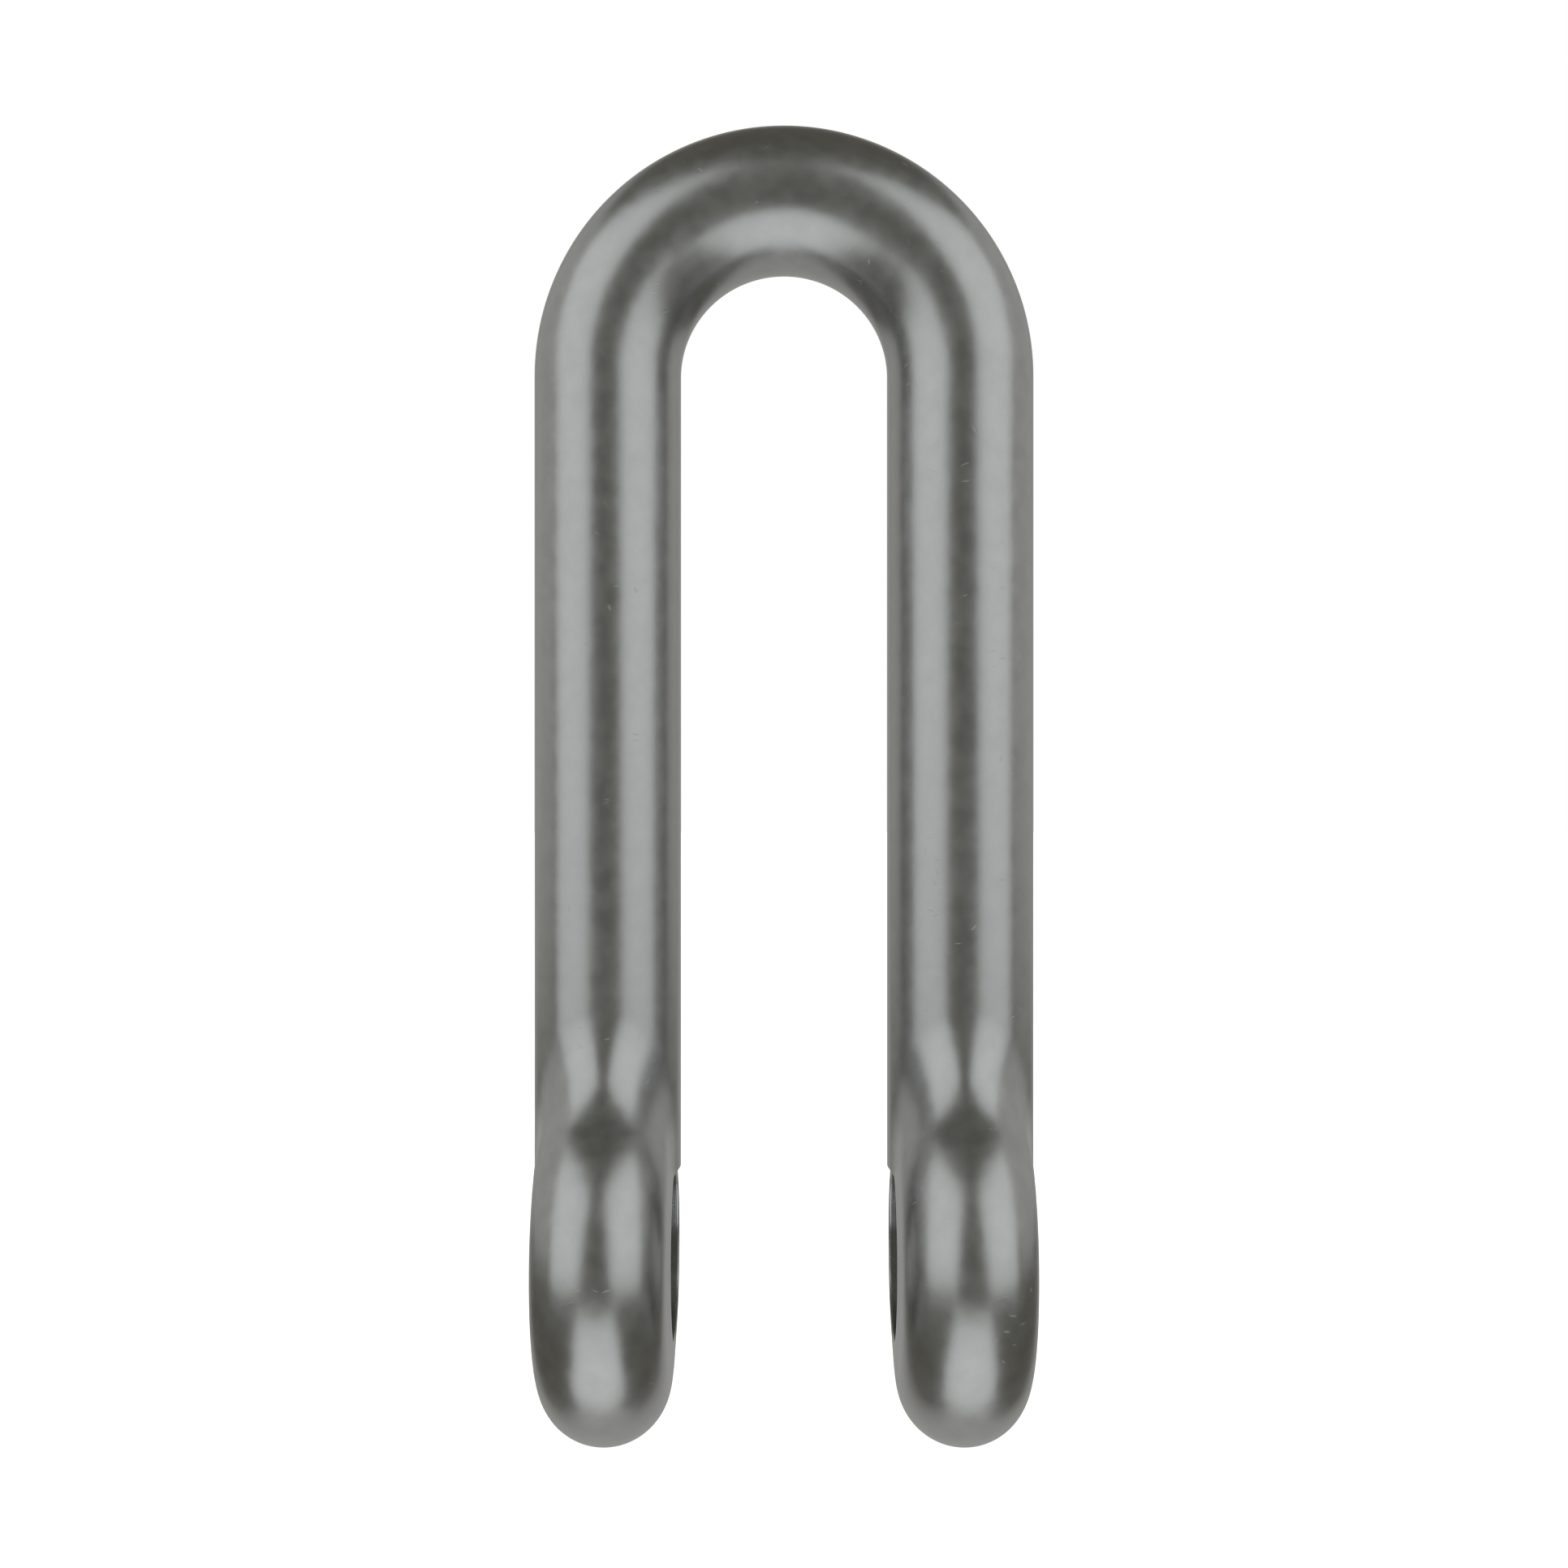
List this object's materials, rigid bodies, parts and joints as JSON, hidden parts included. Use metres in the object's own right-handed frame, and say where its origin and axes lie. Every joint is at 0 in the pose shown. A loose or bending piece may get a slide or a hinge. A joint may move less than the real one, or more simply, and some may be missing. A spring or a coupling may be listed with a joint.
{
  "type": "u-shackle body",
  "caption": "Long U bent from round bar, with a forged eye on the end of each leg, for a cross pin that ties links or fittings together.",
  "frame": {"origin": "midway between the two eyes, at the level of their lowest points", "axes": "+Z along the legs towards the bend, X across the legs and along the bores, Y the depth"},
  "size_m": [0.0546, 0.0408, 0.1437],
  "materials": {
    "satin_steel": "satin forged steel, with a few fine nicks and scratches"
  },
  "bodies": {
    "root": {"shackle_body": "satin_steel"}
  },
  "joints": []
}
